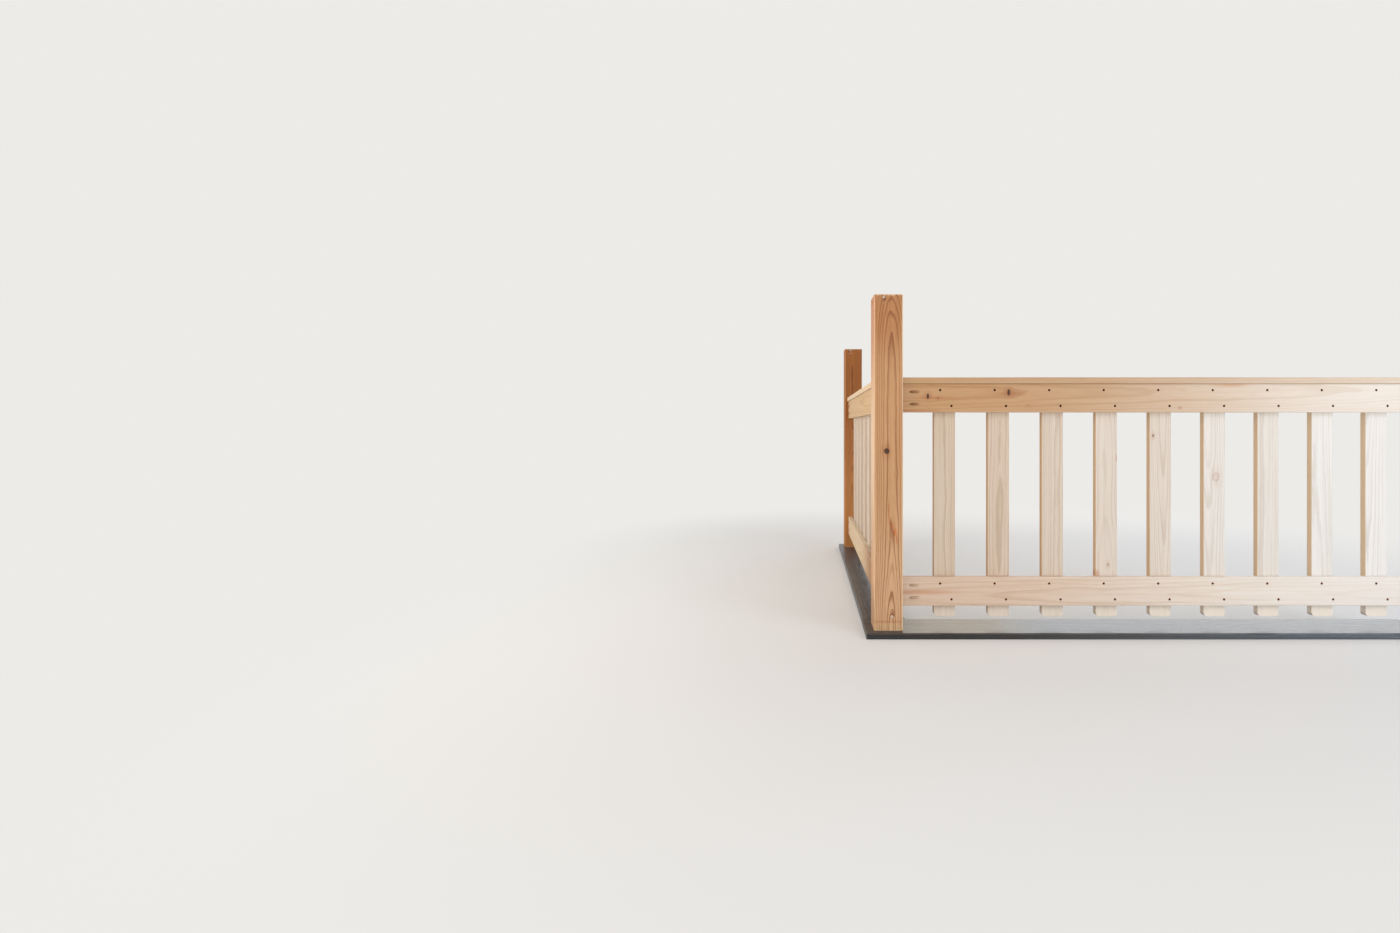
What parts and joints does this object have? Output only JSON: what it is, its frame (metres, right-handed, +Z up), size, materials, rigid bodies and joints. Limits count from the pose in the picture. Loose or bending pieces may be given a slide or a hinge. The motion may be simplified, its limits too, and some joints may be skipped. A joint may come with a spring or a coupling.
{
  "type": "loft guard rail",
  "caption": "L-shaped wooden guard rail for a sleeping loft: square posts on flat curb boards, boards on edge as rails, upright slats with rounded feet and thin cap boards.",
  "frame": {"origin": "on the floor, under the middle of the corner post", "axes": "+X runs along the front bay to the side wall, +Y along the return bay to the end post, +Z is up"},
  "size_m": [1.7325, 1.4225, 1.048],
  "materials": {
    "fir_post": "planed fir, warm orange-brown with strong grain, matt",
    "pine_rail": "planed knotty pine, unfinished, matt",
    "pine_slat": "planed pale pine, unfinished, matt",
    "stained_curb": "dark grey wood stain, satin",
    "bronze_screw": "dark bronze coated screw heads",
    "zinc_screw": "bright zinc plated screw heads"
  },
  "bodies": {
    "root": {"curb_front": "stained_curb", "curb_return": "stained_curb", "post_corner": "fir_post", "post_end": "fir_post", "front_top_rail": "pine_rail", "front_bottom_rail": "pine_rail", "front_cap": "pine_rail", "return_top_rail": "pine_rail", "return_bottom_rail": "pine_rail", "return_cap": "pine_rail", "front_slat_1": "pine_slat", "front_slat_2": "pine_slat", "front_slat_3": "pine_slat", "front_slat_4": "pine_slat", "front_slat_5": "pine_slat", "front_slat_6": "pine_slat", "front_slat_7": "pine_slat", "front_slat_8": "pine_slat", "front_slat_9": "pine_slat", "return_slat_1": "pine_slat", "return_slat_2": "pine_slat", "return_slat_3": "pine_slat", "return_slat_4": "pine_slat", "return_slat_5": "pine_slat", "return_slat_6": "pine_slat", "return_slat_7": "pine_slat"}
  },
  "joints": []
}
